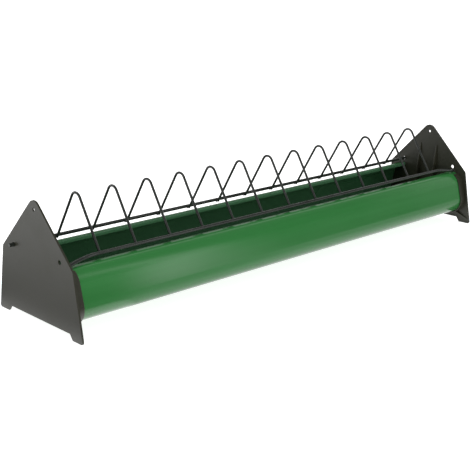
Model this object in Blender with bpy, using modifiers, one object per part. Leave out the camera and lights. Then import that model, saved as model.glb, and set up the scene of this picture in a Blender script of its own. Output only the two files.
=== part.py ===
"""Poultry feed trough: a plastic channel between two end plates, under a hinged wire grille.

X runs along the trough, -Y is the front, +Z is up. The origin is on the ground at the middle.
Outlines across the trough are lists of (y, z), and corners are (y, z, radius).
"""
import math

import bmesh
import bpy
from mathutils import Matrix, Vector

# Overall
SPAN = 0.750                  # outer face to outer face of the end plates
SEAT_GAP = 0.0003             # between pieces that touch
ARC_STEP = math.radians(10)   # longest step round an outline's rounded corner
ROUND_SIDES = 32              # sides of a drilled hole
ROD_RESOLUTION = 4            # a rod's bevel, which gives it 12 sides
WIRE_RESOLUTION = 2           # an arch's bevel, which gives it 8 sides
WELD_DISTANCE = 0.000001      # merges the caps of a curve with its sides
SHARP_ANGLE = math.radians(30)    # faces that meet at less than this are shaded smooth

# Trough section, on its outer face
TROUGH_WIDTH = 0.147
TROUGH_WALL = 0.0016
GROUND_CLEARANCE = 0.0165     # ground to the underside of the trough
HEEL_RADIUS = 0.020           # lower corners
SIDE_LEAN = math.radians(14)
SHOULDER_RADIUS = 0.0215      # between the side and the lip
LIP_HEIGHT = 0.0804           # ground to the top of the lip at its inner edge
LIP_SLOPE = math.radians(5.2)
MOUTH_WIDTH = 0.090           # between the two lips
HEM_RADIUS = 0.0025
HEM_DROP = 0.0056             # the lip's inner edge, turned down

# End plate
WEB = 0.002                   # thickness inside the rim
RIM_RISE = 0.0005             # the rim stands this far above the web, on the inner face
RIM_WIDTH = 0.0025
SHOULDER_INSET = 0.001        # the plate's shoulder lies inside the trough's widest line
SHOULDER_RISE = 0.0013        # and above the lip
SHOULDER_ROUND = 0.004
APEX_HALF_ANGLE = math.radians(45)
APEX_ROUND = 0.012
FOOT_SPREAD = 0.0135          # the foot stands this far outside the trough's widest line
FOOT_ROUND = 0.003
FOOT_WIDTH = 0.020
FOOT_HEIGHT = 0.007           # ground to the plate's lower edge between the feet
FOOT_STEP = 0.005             # slant of a foot's inner side
FOOT_EDGE_ROUND = 0.001
COLLAR_WALL = 0.0015          # the collar goes round the outside of the trough's end
COLLAR_DEPTH = 0.0104         # from the web's inner face
COLLAR_COVER = math.radians(44)   # how far round the trough's shoulder the collar reaches
RIB_THICKNESS = 0.0025
RIB_SPREAD = 0.031            # between the two upright ribs inside the trough
RIB_DEPTH = 0.008
RIB_TIP_DEPTH = 0.001
RIB_REACH = 0.038             # how far the ribs' tips stand above the lip
FOOT_RIB_DEPTH = 0.0045       # the slanting rib from the collar to a foot, where it is deepest
FOOT_RIB_TIP_DEPTH = 0.0003   # and at its outer end
FOOT_RIB_ANGLE = math.radians(-71)
FOOT_RIB_RISE = 0.0055        # its outer end above the ground
HOLE_CLEARANCE = 0.0005       # all round a rod, in the two side holes
HOLE_OUTSET = 0.0028          # side holes, outside the mouth's edge
HOLE_RISE = 0.0069            # side holes, above the lip
HANG_HOLE_RADIUS = 0.002      # the top hole, for a hook or cord
HANG_HOLE_DROP = 0.0157       # it lies this far below the point where the sloping sides would meet

# Wire grille
ROD_RADIUS = 0.00225          # 4 mm steel under its coating
WIRE_RADIUS = 0.00165         # 3 mm steel under its coating
WELD_GAP = 0.0003             # between a rod and the arches welded to it
ROD_OVERHANG = 0.006          # the back rod's ends, past the plates' outer faces
ROD_END_GAP = 0.005           # the front rod's ends to the plates' rims
CRANK_SETOFF = 0.006          # the front rod starts to bend this far past the last arch
CRANK_OUT = 0.006             # and ends this far outside its straight run
CRANK_STEPS = 8
ARCH_PITCH = 0.0527
ARCH_SHIFT = -0.0013          # the wires lie this far along from the middle, on a rod that can slide
ARCH_END_SPACE = 0.045        # least space between an end plate's web and the nearest arch
LEG_ANGLE = math.radians(58.6)
LEG_OVERRUN = 0.0018          # an arch's ends, past the rods
BEND_RADIUS = 0.0092          # an arch's top, on the wire's middle line
BEND_STEPS = 12

# Finishes: colour, roughness and metallic
GREEN_PLASTIC = ((0.030, 0.150, 0.045, 1.0), 0.32, 0.0)
BLACK_PLASTIC = ((0.022, 0.021, 0.020, 1.0), 0.45, 0.0)
BLACK_COATING = ((0.016, 0.015, 0.015, 1.0), 0.40, 0.0)

# Turns an outline's (y, z) and its thickness onto world Y, Z and X
ACROSS = Matrix(((0, 0, 1, 0), (1, 0, 0, 0), (0, 1, 0, 0), (0, 0, 0, 1)))
# Turns an outline's (x, z) and its thickness onto world X, Z and -Y
ALONG = Matrix(((1, 0, 0, 0), (0, 0, -1, 0), (0, 1, 0, 0), (0, 0, 0, 1)))

# Places that several pieces share
HALF_SPAN = SPAN / 2
WEB_INNER = HALF_SPAN - WEB
HALF_WIDTH = TROUGH_WIDTH / 2
MOUTH_EDGE = MOUTH_WIDTH / 2
HOLE_RADIUS = ROD_RADIUS + HOLE_CLEARANCE
HOLE_Y = MOUTH_EDGE + HOLE_OUTSET
HOLE_Z = LIP_HEIGHT + HOLE_RISE
HINGE_Y = HOLE_Y
HINGE_Z = HOLE_Z - (HOLE_CLEARANCE - SEAT_GAP)    # the rod lies at the bottom of its holes


def clear_scene():
    for old in list(bpy.data.objects):
        bpy.data.objects.remove(old, do_unlink=True)


def new_collection(name):
    collection = bpy.data.collections.new(name)
    bpy.context.scene.collection.children.link(collection)
    return collection


def finish(piece, look):
    """Gives a piece its own Principled material."""
    colour, roughness, metallic = look
    material = bpy.data.materials.new(piece.name + "_finish")
    material.use_nodes = True
    shader = material.node_tree.nodes["Principled BSDF"]
    shader.inputs["Base Color"].default_value = colour
    shader.inputs["Roughness"].default_value = roughness
    shader.inputs["Metallic"].default_value = metallic
    piece.data.materials.append(material)


def rounded(corners, closed=False):
    """Points along a path of (y, z, radius) corners, each rounded by an arc."""
    points = []
    count = len(corners)
    for i, (y, z, radius) in enumerate(corners):
        here = Vector((y, z))
        at_end = not closed and i in (0, count - 1)
        if at_end or radius == 0:
            points.append(tuple(here))
            continue
        before = (here - Vector(corners[i - 1][:2])).normalized()
        after = (Vector(corners[(i + 1) % count][:2]) - here).normalized()
        turn = math.atan2(before.cross(after), before.dot(after))
        setback = radius * math.tan(abs(turn) / 2)
        side = math.copysign(1.0, turn)
        start = here - before * setback
        centre = start + Vector((-before.y, before.x)) * radius * side
        steps = max(1, math.ceil(abs(turn) / ARC_STEP))
        for step in range(steps + 1):
            spoke = Matrix.Rotation(turn * step / steps, 2) @ (start - centre)
            points.append(tuple(centre + spoke))
    return points


def shifted(corners, distance, closed=False):
    """The same corners moved sideways, to the left of the path where distance is above zero."""
    moved = []
    count = len(corners)
    for i, (y, z, radius) in enumerate(corners):
        here = Vector((y, z))
        before = after = None
        if closed or i > 0:
            before = (here - Vector(corners[i - 1][:2])).normalized()
        if closed or i < count - 1:
            after = (Vector(corners[(i + 1) % count][:2]) - here).normalized()
        before = before or after
        after = after or before
        left_before = Vector((-before.y, before.x))
        left_after = Vector((-after.y, after.x))
        move = (left_before + left_after) / (1 + left_before.dot(left_after)) * distance
        tighter = math.copysign(distance, before.cross(after) * distance)
        new_radius = radius - tighter if radius > 0 else 0
        moved.append((*(here + move), max(new_radius, 0)))
    return moved


def both_sides(half):
    """The whole path from the corners of its +Y half, which starts on the middle line."""
    mirrored = [(-y, z, radius) for y, z, radius in reversed(half[1:])]
    return mirrored + half


def crossing(point_a, direction_a, point_b, direction_b):
    """Where two lines in the plane of the section meet."""
    along = (point_b - point_a).cross(direction_b) / direction_a.cross(direction_b)
    return point_a + direction_a * along


def heel_centre():
    return Vector((HALF_WIDTH - HEEL_RADIUS, GROUND_CLEARANCE + HEEL_RADIUS))


def section_half():
    """The trough's outer face, from the middle of its floor out, up and over to the hem."""
    heel_y = heel_centre().x + HEEL_RADIUS * math.tan((math.pi / 2 + SIDE_LEAN) / 2)
    heel = Vector((heel_y, GROUND_CLEARANCE))
    edge = Vector((MOUTH_EDGE, LIP_HEIGHT))
    up_side = Vector((-math.sin(SIDE_LEAN), math.cos(SIDE_LEAN)))
    out_lip = Vector((math.cos(LIP_SLOPE), -math.sin(LIP_SLOPE)))
    shoulder = crossing(heel, up_side, edge, out_lip)
    return [
        (0, GROUND_CLEARANCE, 0),
        (*heel, HEEL_RADIUS),
        (*shoulder, SHOULDER_RADIUS),
        (*edge, HEM_RADIUS),
        (MOUTH_EDGE, LIP_HEIGHT - HEM_DROP, 0),
    ]


def collar_half():
    """What the collar covers of the trough's outer face: floor, heel, side and some of the shoulder."""
    floor, heel, shoulder = section_half()[:3]
    up_side = Vector((-math.sin(SIDE_LEAN), math.cos(SIDE_LEAN)))
    turn = math.pi / 2 - SIDE_LEAN - LIP_SLOPE
    arc_start = Vector(shoulder[:2]) - up_side * SHOULDER_RADIUS * math.tan(turn / 2)
    reach = SHOULDER_RADIUS * math.tan(COLLAR_COVER / 2)
    corner = arc_start + up_side * reach
    stop = corner + Matrix.Rotation(COLLAR_COVER, 2) @ up_side * reach
    return [floor, heel, (*corner, SHOULDER_RADIUS), (*stop, 0)]


def lip_top(y):
    """Height of the lip's upper face at a distance y from the middle."""
    return LIP_HEIGHT - (abs(y) - MOUTH_EDGE) * math.tan(LIP_SLOPE)


def plate_corners():
    """The end plate's house-shaped outline, anticlockwise as seen from +X."""
    shoulder_y = HALF_WIDTH - SHOULDER_INSET
    shoulder_z = LIP_HEIGHT + SHOULDER_RISE
    foot_y = HALF_WIDTH + FOOT_SPREAD
    inner_y = foot_y - FOOT_WIDTH
    half = [
        (inner_y - FOOT_STEP, FOOT_HEIGHT, FOOT_EDGE_ROUND),
        (inner_y, 0, FOOT_EDGE_ROUND),
        (foot_y, 0, FOOT_ROUND),
        (shoulder_y, shoulder_z, SHOULDER_ROUND),
    ]
    mirrored = [(-y, z, radius) for y, z, radius in reversed(half)]
    return half + [(0, apex_height(), APEX_ROUND)] + mirrored


def apex_height():
    """Where the plate's two sloping sides would meet."""
    rise = (HALF_WIDTH - SHOULDER_INSET) / math.tan(APEX_HALF_ANGLE)
    return LIP_HEIGHT + SHOULDER_RISE + rise


def prism(name, outline, plane, low, high):
    """A closed outline made a solid between two distances along its plane's third axis."""
    curve = bpy.data.curves.new(name, "CURVE")
    curve.dimensions = "2D"
    curve.fill_mode = "BOTH"
    curve.extrude = (high - low) / 2
    spline = curve.splines.new("POLY")
    spline.points.add(len(outline) - 1)
    for point, (across, up) in zip(spline.points, outline):
        point.co = (across, up, 0, 1)
    spline.use_cyclic_u = True
    drawn = bpy.data.objects.new(name, curve)
    bpy.context.scene.collection.objects.link(drawn)
    drawn.matrix_world = plane @ Matrix.Translation((0, 0, (low + high) / 2))
    return as_mesh(drawn)


def as_mesh(drawn):
    """Replaces a curve or a piece with modifiers by the mesh it evaluates to."""
    bpy.context.view_layer.update()
    evaluated = drawn.evaluated_get(bpy.context.evaluated_depsgraph_get())
    mesh = bpy.data.meshes.new_from_object(evaluated)
    shape = bmesh.new()
    shape.from_mesh(mesh)
    bmesh.ops.remove_doubles(shape, verts=shape.verts, dist=WELD_DISTANCE)
    shape.to_mesh(mesh)
    shape.free()
    mesh.name = drawn.name
    solid = bpy.data.objects.new(drawn.name + "_solid", mesh)
    solid.matrix_world = drawn.matrix_world
    bpy.context.scene.collection.objects.link(solid)
    bpy.data.objects.remove(drawn, do_unlink=True)
    return solid


def tube(name, points, radius, resolution, collection):
    """A wire along a list of points."""
    curve = bpy.data.curves.new(name, "CURVE")
    curve.dimensions = "3D"
    curve.bevel_depth = radius
    curve.bevel_resolution = resolution
    curve.use_fill_caps = True
    spline = curve.splines.new("POLY")
    spline.points.add(len(points) - 1)
    for point, place in zip(spline.points, points):
        point.co = (*place, 1)
    wire = bpy.data.objects.new(name, curve)
    collection.objects.link(wire)
    return wire


def join_or_cut(base, operation, guide, cutters):
    """Adds a Boolean with a guide, which is kept among the cutters."""
    modifier = base.modifiers.new(guide.name, "BOOLEAN")
    modifier.operation = operation
    modifier.solver = "EXACT"
    modifier.object = guide
    bpy.context.scene.collection.objects.unlink(guide)
    cutters.objects.link(guide)
    guide.hide_render = True
    guide.display_type = "WIRE"


def drill(name, radius, y, z, low, high):
    """A round cutter along X."""
    mesh = bpy.data.meshes.new(name)
    shape = bmesh.new()
    bmesh.ops.create_cone(shape, cap_ends=True, segments=ROUND_SIDES, radius1=radius, radius2=radius,
                          depth=high - low)
    shape.to_mesh(mesh)
    shape.free()
    cutter = bpy.data.objects.new(name, mesh)
    cutter.matrix_world = Matrix.Translation(((low + high) / 2, y, z)) @ ACROSS
    bpy.context.scene.collection.objects.link(cutter)
    return cutter


def add_trough(parts):
    """The channel: its outer face drawn across, extruded along X and given its wall inwards."""
    outline = rounded(both_sides(section_half()))
    half_length = WEB_INNER - SEAT_GAP
    mesh = bpy.data.meshes.new("trough")
    shape = bmesh.new()
    verts = [shape.verts.new((-half_length, y, z)) for y, z in outline]
    edges = [shape.edges.new(pair) for pair in zip(verts, verts[1:])]
    swept = bmesh.ops.extrude_edge_only(shape, edges=edges)["geom"]
    moved = [item for item in swept if isinstance(item, bmesh.types.BMVert)]
    bmesh.ops.translate(shape, verts=moved, vec=(2 * half_length, 0, 0))
    floor = min(shape.faces, key=lambda face: face.calc_center_median().z)
    if floor.normal.z > 0:
        bmesh.ops.reverse_faces(shape, faces=shape.faces)
    shape.to_mesh(mesh)
    shape.free()
    trough = bpy.data.objects.new("trough", mesh)
    parts.objects.link(trough)
    wall = trough.modifiers.new("wall", "SOLIDIFY")
    wall.thickness = TROUGH_WALL
    wall.offset = -1
    wall.use_even_offset = True
    mesh.shade_smooth()
    mesh.set_sharp_from_angle(angle=SHARP_ANGLE)
    finish(trough, GREEN_PLASTIC)


def collar_outline():
    """The collar's ring, from one side of the trough round its floor to the other."""
    path = both_sides(collar_half())
    inner = rounded(shifted(path, -SEAT_GAP))
    outer = rounded(shifted(path, -SEAT_GAP - COLLAR_WALL))
    return outer + inner[::-1]


def rib_outline():
    """An upright rib against the web of the plate at +X, as (x, z)."""
    root = HALF_SPAN - WEB / 2
    deep = WEB_INNER - RIB_DEPTH
    tip = WEB_INNER - RIB_TIP_DEPTH
    floor = GROUND_CLEARANCE + TROUGH_WALL + SEAT_GAP
    top = LIP_HEIGHT + RIB_REACH
    return [(root, floor), (root, top), (tip, top), (deep, LIP_HEIGHT), (deep, floor)]


def foot_rib(name, side):
    """The slanting rib from the collar down to a foot, drawn as (along, depth) and shallower outwards."""
    middle_radius = HEEL_RADIUS + SEAT_GAP + COLLAR_WALL / 2
    start = heel_centre() + Vector((math.cos(FOOT_RIB_ANGLE), math.sin(FOOT_RIB_ANGLE))) * middle_radius
    end = Vector((HALF_WIDTH + FOOT_SPREAD - RIM_WIDTH, FOOT_RIB_RISE))
    length = (end - start).length
    along = Vector((0, side * (end.x - start.x), end.y - start.y)).normalized()
    inwards = Vector((-1, 0, 0))
    plane = Matrix((along, inwards, along.cross(inwards))).transposed().to_4x4()
    plane.translation = (WEB_INNER, side * start.x, start.y)
    outline = [(0, -WEB / 2), (length, -WEB / 2), (length, FOOT_RIB_TIP_DEPTH), (0, FOOT_RIB_DEPTH)]
    return prism(name, outline, plane, -RIB_THICKNESS / 2, RIB_THICKNESS / 2)


def plate_mesh(cutters):
    """The end plate at +X, joined and cut from prisms."""
    corners = plate_corners()
    rim_inner = WEB_INNER - RIM_RISE
    root = HALF_SPAN - WEB / 2
    base = prism("plate_blank", rounded(corners, closed=True), ACROSS, rim_inner, HALF_SPAN)
    recess_outline = rounded(shifted(corners, RIM_WIDTH, closed=True), closed=True)
    recess = prism("recess", recess_outline, ACROSS, rim_inner - RIM_RISE, WEB_INNER)
    join_or_cut(base, "DIFFERENCE", recess, cutters)
    collar = prism("collar", collar_outline(), ACROSS, WEB_INNER - COLLAR_DEPTH, root)
    join_or_cut(base, "UNION", collar, cutters)
    for side, word in ((-1, "front"), (1, "back")):
        middle = side * RIB_SPREAD / 2
        low = -middle - RIB_THICKNESS / 2
        rib = prism(word + "_rib", rib_outline(), ALONG, low, low + RIB_THICKNESS)
        join_or_cut(base, "UNION", rib, cutters)
        join_or_cut(base, "UNION", foot_rib(word + "_foot_rib", side), cutters)
    past = HALF_SPAN + WEB
    holes = {
        "front_hole": (HOLE_RADIUS, -HOLE_Y, HOLE_Z),
        "hinge_hole": (HOLE_RADIUS, HOLE_Y, HOLE_Z),
        "hang_hole": (HANG_HOLE_RADIUS, 0, apex_height() - HANG_HOLE_DROP),
    }
    for name, (radius, y, z) in holes.items():
        join_or_cut(base, "DIFFERENCE", drill(name, radius, y, z, rim_inner - WEB, past), cutters)
    solid = as_mesh(base)
    mesh = solid.data
    mesh.transform(solid.matrix_world)
    bpy.data.objects.remove(solid, do_unlink=True)
    mesh.shade_smooth()
    mesh.set_sharp_from_angle(angle=SHARP_ANGLE)
    return mesh


def add_end_plates(parts, cutters):
    """Two of the same moulding, the left one turned half round."""
    moulding = plate_mesh(cutters)
    for name, turn in (("right_end_plate", 0), ("left_end_plate", math.pi)):
        plate = bpy.data.objects.new(name, moulding.copy())
        plate.rotation_euler.z = turn
        parts.objects.link(plate)
        finish(plate, BLACK_PLASTIC)
    bpy.data.meshes.remove(moulding)


def leg_y(z):
    """Distance from the middle to an arch's leg, on the wire's middle line, at a height z."""
    from_rod = (ROD_RADIUS + WIRE_RADIUS + WELD_GAP) / math.sin(LEG_ANGLE)
    return HINGE_Y - from_rod - (z - HINGE_Z) / math.tan(LEG_ANGLE)


def arch_points():
    """One arch as (y, z), from its front end over the top to its back end."""
    top = HINGE_Z + leg_y(HINGE_Z) * math.tan(LEG_ANGLE)
    centre = Vector((0, top - BEND_RADIUS / math.cos(LEG_ANGLE)))
    bend = []
    for step in range(BEND_STEPS + 1):
        angle = LEG_ANGLE * (1 - 2 * step / BEND_STEPS)
        bend.append((centre.x - BEND_RADIUS * math.sin(angle), centre.y + BEND_RADIUS * math.cos(angle)))
    end_z = HINGE_Z - LEG_OVERRUN * math.sin(LEG_ANGLE)
    return [(-leg_y(end_z), end_z)] + bend + [(leg_y(end_z), end_z)]


def arch_places():
    """X of each arch, as many as fit between the end plates."""
    room = 2 * (WEB_INNER - ARCH_END_SPACE)
    count = int(room / ARCH_PITCH) + 1
    first = ARCH_SHIFT - (count - 1) / 2 * ARCH_PITCH
    return [first + i * ARCH_PITCH for i in range(count)]


def front_rod_points():
    """The front rod: a straight run opposite the back rod, with both ends bent out and down onto the lip."""
    run_y = -HINGE_Y
    end_y = run_y - CRANK_OUT
    end_z = lip_top(end_y) + (SEAT_GAP + ROD_RADIUS) / math.cos(LIP_SLOPE)
    start_x = arch_places()[-1] + CRANK_SETOFF
    end_x = WEB_INNER - RIM_RISE - ROD_END_GAP
    right = []
    for step in range(CRANK_STEPS + 1):
        share = step / CRANK_STEPS
        bend = share * share
        x = start_x + (end_x - start_x) * share
        right.append((x, run_y + (end_y - run_y) * bend, HINGE_Z + (end_z - HINGE_Z) * bend))
    left = [(-x, y, z) for x, y, z in reversed(right)]
    return left + right


def add_grille(parts):
    """The wires, all carried by an empty on the hinge's axis."""
    hinge = bpy.data.objects.new("grille_hinge", None)
    hinge.location = (0, HINGE_Y, HINGE_Z)
    parts.objects.link(hinge)
    bpy.context.view_layer.update()
    back_end = HALF_SPAN + ROD_OVERHANG
    back_points = [(-back_end, HINGE_Y, HINGE_Z), (back_end, HINGE_Y, HINGE_Z)]
    wires = [
        tube("back_rod", back_points, ROD_RADIUS, ROD_RESOLUTION, parts),
        tube("front_rod", front_rod_points(), ROD_RADIUS, ROD_RESOLUTION, parts),
    ]
    for number, x in enumerate(arch_places(), start=1):
        points = [(x, y, z) for y, z in arch_points()]
        wires.append(tube(f"arch_{number:02d}", points, WIRE_RADIUS, WIRE_RESOLUTION, parts))
    for wire in wires:
        finish(wire, BLACK_COATING)
        wire.parent = hinge
        wire.matrix_parent_inverse = hinge.matrix_world.inverted()


def main():
    clear_scene()
    parts = new_collection("poultry_feed_trough")
    cutters = new_collection("cutters")
    add_trough(parts)
    add_end_plates(parts, cutters)
    add_grille(parts)


main()
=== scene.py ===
"""Poultry feed trough: the fine shapes and finishes of its pieces, and the stage that it stands on.

X runs along the trough, -Y is its front and +Z is up. Profiles are drawn across it, as (y, z) places.
"""
import math

import bmesh
import bpy
from mathutils import Matrix, Vector


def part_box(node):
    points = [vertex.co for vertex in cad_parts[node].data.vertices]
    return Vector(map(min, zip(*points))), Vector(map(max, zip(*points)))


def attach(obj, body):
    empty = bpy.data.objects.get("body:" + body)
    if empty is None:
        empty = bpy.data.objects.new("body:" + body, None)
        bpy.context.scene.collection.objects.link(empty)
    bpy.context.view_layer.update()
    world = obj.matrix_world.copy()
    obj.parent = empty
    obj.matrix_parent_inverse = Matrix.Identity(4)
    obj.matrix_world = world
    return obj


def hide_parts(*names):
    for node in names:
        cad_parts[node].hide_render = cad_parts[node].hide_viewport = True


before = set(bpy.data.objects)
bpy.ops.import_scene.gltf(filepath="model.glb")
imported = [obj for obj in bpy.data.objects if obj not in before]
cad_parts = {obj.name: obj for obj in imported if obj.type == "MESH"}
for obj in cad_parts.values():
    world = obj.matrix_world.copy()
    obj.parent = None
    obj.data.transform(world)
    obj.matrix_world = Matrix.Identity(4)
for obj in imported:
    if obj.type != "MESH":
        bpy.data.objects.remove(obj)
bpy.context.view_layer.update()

bl_info = {
    "name": "Poultry feed trough",
    "version": (1, 0, 0),
    "blender": (4, 5, 0),
    "location": "3D View > Sidebar > Feeder",
    "description": "Dresses a plastic feed trough with end plates and a hinged wire grille",
    "category": "Object",
}

ACROSS = Vector((1, 0, 0))           # the axis that profiles are turned about
ARC_STEP = math.radians(4)           # longest step round an arc
SEAT_GAP = 0.0003                    # between pieces that touch
WELD_DISTANCE = 0.00001              # merges points that meet
SMOOTH_ANGLE = math.radians(35)      # faces that meet at less than this are shaded smooth
HOLE_SIDES = 48
ROD_SIDES = 32
WIRE_SIDES = 20
CUTS_IN_A_WAVE = 6                   # along the trough, for each swell of its faces
NEARLY_ALL = 0.98                    # of a stretch, so that an arc leaves some of it
ARCH_NAMES = sorted(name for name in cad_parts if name.startswith("arch_"))
PLATE_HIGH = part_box("right_end_plate")[1]
TROUGH_LOW, TROUGH_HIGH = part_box("trough")
BACK_ROD_LOW, BACK_ROD_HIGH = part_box("back_rod")
FRONT_ROD_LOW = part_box("front_rod")[0]
HINGE = (BACK_ROD_LOW + BACK_ROD_HIGH) / 2


def number(name, description, default, **more):
    return bpy.props.FloatProperty(name=name, description=description, default=default, **more)


def triple(name, description, default, **more):
    return bpy.props.FloatVectorProperty(name=name, description=description, default=default, **more)


def length(name, description, default):
    return number(name, description, default, unit="LENGTH", precision=4)


def angle(name, description, degrees):
    return number(name, description, math.radians(degrees), subtype="ANGLE")


def share(name, description, default):
    return number(name, description, default, min=0, max=1, subtype="FACTOR")


def bright(name, description, default):
    return number(name, description, default, min=0)


def power(name, description, default):
    return number(name, description, default, min=0, unit="POWER")


def direction(name, description, default):
    return triple(name, description, default, subtype="DIRECTION")


def colour(name, description, default):
    return triple(name, description, default, min=0, max=1, subtype="COLOR")


class TroughSizes(bpy.types.PropertyGroup):
    """The channel's section, on its outer face."""
    width: length("Width", "Across the widest part of the sides", 0.147)
    wall: length("Wall", "Thickness of the plastic", 0.0016)
    heel_radius: length("Heel radius", "Rounding between the floor and a side", 0.020)
    side_lean: angle("Side lean", "How far a side leans in", 14)
    shoulder_radius: length("Shoulder radius", "Rounding between a side and its lip", 0.0215)
    lip_height: length("Lip height", "Ground to the lip's inner edge", 0.0804)
    lip_slope: angle("Lip slope", "Fall of the lip towards the outside", 5.2)
    mouth_width: length("Mouth width", "Between the two lips", 0.090)
    hem_radius: length("Hem radius", "Rounding where the lip turns down", 0.0025)
    hem_drop: length("Hem drop", "How far the lip turns down", 0.0056)
    groove_place: length("Groove place", "From the mouth's edge to the fine groove along the lip", 0.0056)
    groove_width: length("Groove width", "Across that groove", 0.0007)
    groove_depth: length("Groove depth", "Of that groove", 0.00025)
    end_round: length("End round", "Rounding of the edges of its cut ends", 0.0003)
    side_bow: angle("Side bow", "How far a side turns between its middle and either end", 1.2)
    wave: length("Wave", "How far the extruded faces wander from flat", 0.00018)
    wave_length: length("Wave length", "From one swell of the faces to the next", 0.09)


class PlateSizes(bpy.types.PropertyGroup):
    """The end plates, which are two of one moulding."""
    thickness: length("Thickness", "Through the rim", 0.0025)
    rim_rise: length("Rim rise", "The rim's height above the inner face", 0.0005)
    rim_width: length("Rim width", "Across the rim", 0.0025)
    foot_width: length("Foot width", "Along the underside of a foot", 0.020)
    foot_spread: length("Foot spread", "From the trough's side to the foot's outer corner", 0.0135)
    foot_height: length("Foot height", "Ground to the lower edge between the feet", 0.007)
    foot_step: length("Foot step", "Slant of a foot's inner side", 0.005)
    foot_edge_round: length("Foot edge round", "Rounding at a foot's inner corners", 0.001)
    foot_round: length("Foot round", "Rounding at a foot's outer corner", 0.003)
    shoulder_inset: length("Shoulder inset", "From the trough's side in to the plate's shoulder", 0.001)
    shoulder_rise: length("Shoulder rise", "From the lip up to the plate's shoulder", 0.0013)
    shoulder_round: length("Shoulder round", "Rounding of the plate's shoulder", 0.004)
    apex_round: length("Apex round", "Rounding of the plate's top", 0.012)
    edge_round: length("Edge round", "Rounding of the outer face's edge", 0.0004)
    recess_round: length("Recess round", "Rounding of the rim's inner edges", 0.0002)
    collar_wall: length("Collar wall", "Thickness of the collar round the trough", 0.0015)
    collar_depth: length("Collar depth", "How far the collar reaches along the trough", 0.0104)
    collar_cover: angle("Collar cover", "How far round the trough's shoulder the collar reaches", 44)
    rib_thickness: length("Rib thickness", "Of the ribs on the inner face", 0.0025)
    rib_spread: length("Rib spread", "Between the two upright ribs", 0.031)
    rib_depth: length("Rib depth", "How far the upright ribs stand out", 0.008)
    rib_reach: length("Rib reach", "From the lip up to the ribs' tips", 0.038)
    rib_draft: angle("Rib draft", "Slope of the ribs' sides, for drawing from the mould", 1.5)
    rib_round: length("Rib round", "Rounding of the edges of the collar and the upright ribs", 0.0004)
    foot_rib_depth: length("Foot rib depth", "Of the slanting rib, where it meets the collar", 0.0045)
    foot_rib_rise: length("Foot rib rise", "Ground to the slanting rib's outer end", 0.0055)
    foot_rib_start: angle("Foot rib start", "How far below the level it leaves the trough's heel", 71)
    foot_rib_round: length("Foot rib round", "Rounding of the slanting rib's edges", 0.0003)
    hole_radius: length("Hole radius", "Of the two side holes", 0.00275)
    hole_outset: length("Hole outset", "From the mouth's edge out to a side hole", 0.0028)
    hole_rise: length("Hole rise", "From the lip up to a side hole", 0.0069)
    hang_hole_radius: length("Hanging hole radius", "Of the top hole", 0.0020)
    hang_hole_height: length("Hanging hole height", "Ground to the top hole", 0.1385)
    hole_edge_round: length("Hole edge round", "Rounding of the holes' mouths", 0.0002)
    pin_mark_radius: length("Ejector mark radius", "Of the shallow discs that the mould's pins leave", 0.003)
    pin_mark_depth: length("Ejector mark depth", "Of those discs", 0.00012)


class GrilleSizes(bpy.types.PropertyGroup):
    """The wires of the grille."""
    rod_radius: length("Rod radius", "Of the two long rods", 0.00225)
    wire_radius: length("Wire radius", "Of the arches", 0.00165)
    weld_gap: length("Weld gap", "Between a rod and an arch, where the weld lies", 0.0003)
    leg_angle: angle("Leg angle", "Of an arch's leg above the level", 58.6)
    leg_overrun: length("Leg overrun", "An arch's ends, past the rods", 0.0018)
    bend_radius: length("Bend radius", "Of an arch's top, on the wire's middle line", 0.0092)
    weld_reach: length("Weld reach", "Half the length of a weld, along the wires", 0.0020)
    weld_height: length("Weld height", "Half the depth of a weld, from wire to wire", 0.0011)
    crank_setoff: length("Crank setoff", "From the last arch to the front rod's bend", 0.006)
    crank_out: length("Crank out", "How far the front rod's ends stand out", 0.006)
    rod_end_gap: length("Rod end gap", "From the front rod's ends to the plates", 0.005)
    end_round: length("End round", "Rounding of the wires' cut ends", 0.0005)


class FinishSettings(bpy.types.PropertyGroup):
    """Colours and gloss."""
    green: colour("Green", "The trough's plastic", (0.024, 0.148, 0.034))
    green_pale: colour("Pale green", "The trough's plastic where it is streaked", (0.031, 0.169, 0.043))
    green_gloss: share("Green roughness", "Of the trough's plastic", 0.13)
    # The inner face's paler, greyer green is painted sheen: it stands in for the glare seen in the trough's
    # dark inside, and there is no film. Its paler tone is that painted sheen, mottled stronger at random.
    inside: colour("Inside green", "The trough's inner face, which has a dull film", (0.066, 0.182, 0.088))
    inside_pale: colour("Pale inside green", "Where the film is thicker", (0.079, 0.203, 0.104))
    inside_gloss: share("Inside roughness", "Of the trough's inner face", 0.28)
    black: colour("Black", "The end plates' plastic", (0.0222, 0.0225, 0.0135))
    black_pale: colour("Pale black", "The end plates' plastic where it is mottled", (0.0272, 0.0275, 0.0170))
    black_gloss: share("Black roughness", "Of the end plates' plastic", 0.42)
    coating: colour("Coating", "On the wires", (0.0160, 0.0185, 0.0160))
    coating_gloss: share("Coating roughness", "Of the coating on the wires", 0.14)


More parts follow.
